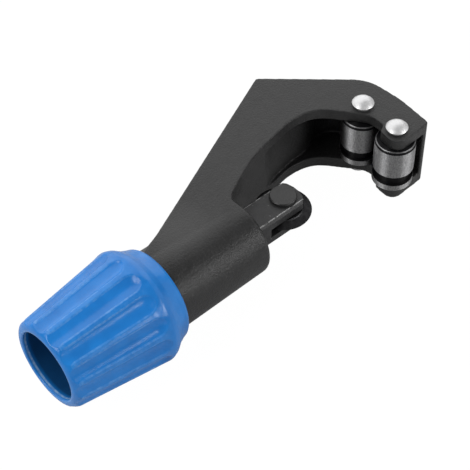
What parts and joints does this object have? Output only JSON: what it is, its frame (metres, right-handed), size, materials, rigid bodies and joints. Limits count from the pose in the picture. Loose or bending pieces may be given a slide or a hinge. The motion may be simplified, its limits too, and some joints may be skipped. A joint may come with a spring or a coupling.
{
  "type": "tube cutter",
  "caption": "Screw-feed tube cutter with a hooked cast frame, grooved rollers, a sliding wheel carriage and a hollow fluted knob.",
  "frame": {"origin": "centre of the knob's open end, on the feed axis", "axes": "+X along the feed axis towards the rollers, +Y towards the frame's spine, +Z along the roller pins, with the two cheeks square to it"},
  "size_m": [0.1389, 0.056, 0.0362],
  "materials": {
    "frame_black": "fine-grained satin black coating on a die casting",
    "bush_bronze": "plain bearing bronze",
    "rivet_bright": "bright nickel plate",
    "roller_steel": "ground and hardened steel",
    "carriage_black": "satin black with worn edges",
    "pin_black": "black-oxide steel",
    "clip_steel": "spring steel",
    "wheel_dark": "dark hardened tool steel",
    "screw_steel": "zinc-plated steel",
    "washer_steel": "zinc-plated steel",
    "knob_blue": "semi-gloss blue",
    "nut_steel": "zinc-plated steel"
  },
  "bodies": {
    "frame": {"frame_body": "frame_black", "feed_bush": "bush_bronze", "roller_rivet_inner": "rivet_bright", "roller_rivet_outer": "rivet_bright"},
    "feed": {"knob": "knob_blue", "feed_screw": "screw_steel", "thrust_washer": "washer_steel", "knob_washer": "washer_steel", "lock_washer": "washer_steel", "knob_nut": "nut_steel"},
    "carriage": {"wheel_carriage": "carriage_black", "wheel_pin": "pin_black", "wheel_pin_clip": "clip_steel"},
    "wheel": {"cutter_wheel": "wheel_dark"},
    "roller_near_spine": {"roller_inner": "roller_steel"},
    "roller_at_tip": {"roller_outer": "roller_steel"}
  },
  "joints": [
    {"name": "knob_turn", "type": "hinge", "parent": "frame", "child": "feed", "pos_m": [0, 0, 0], "axis": [1, 0, 0], "range_deg": [-600, 6240]},
    {"name": "carriage_slide", "type": "slide", "parent": "frame", "child": "carriage", "axis": [1, 0, 0], "range_m": [-0.0025, 0.026]},
    {"name": "wheel_spin", "type": "hinge", "parent": "carriage", "child": "wheel", "pos_m": [0.0883, 0, 0], "axis": [0, 0, 1], "continuous": true},
    {"name": "roller_inner_spin", "type": "hinge", "parent": "frame", "child": "roller_near_spine", "pos_m": [0.1285, 0.00725, 0], "axis": [0, 0, 1], "continuous": true},
    {"name": "roller_outer_spin", "type": "hinge", "parent": "frame", "child": "roller_at_tip", "pos_m": [0.1285, -0.00725, 0], "axis": [0, 0, 1], "continuous": true}
  ],
  "couplings": [
    {"joint": "carriage_slide", "follows": "knob_turn", "m_per_rad": 0.00023873}
  ]
}
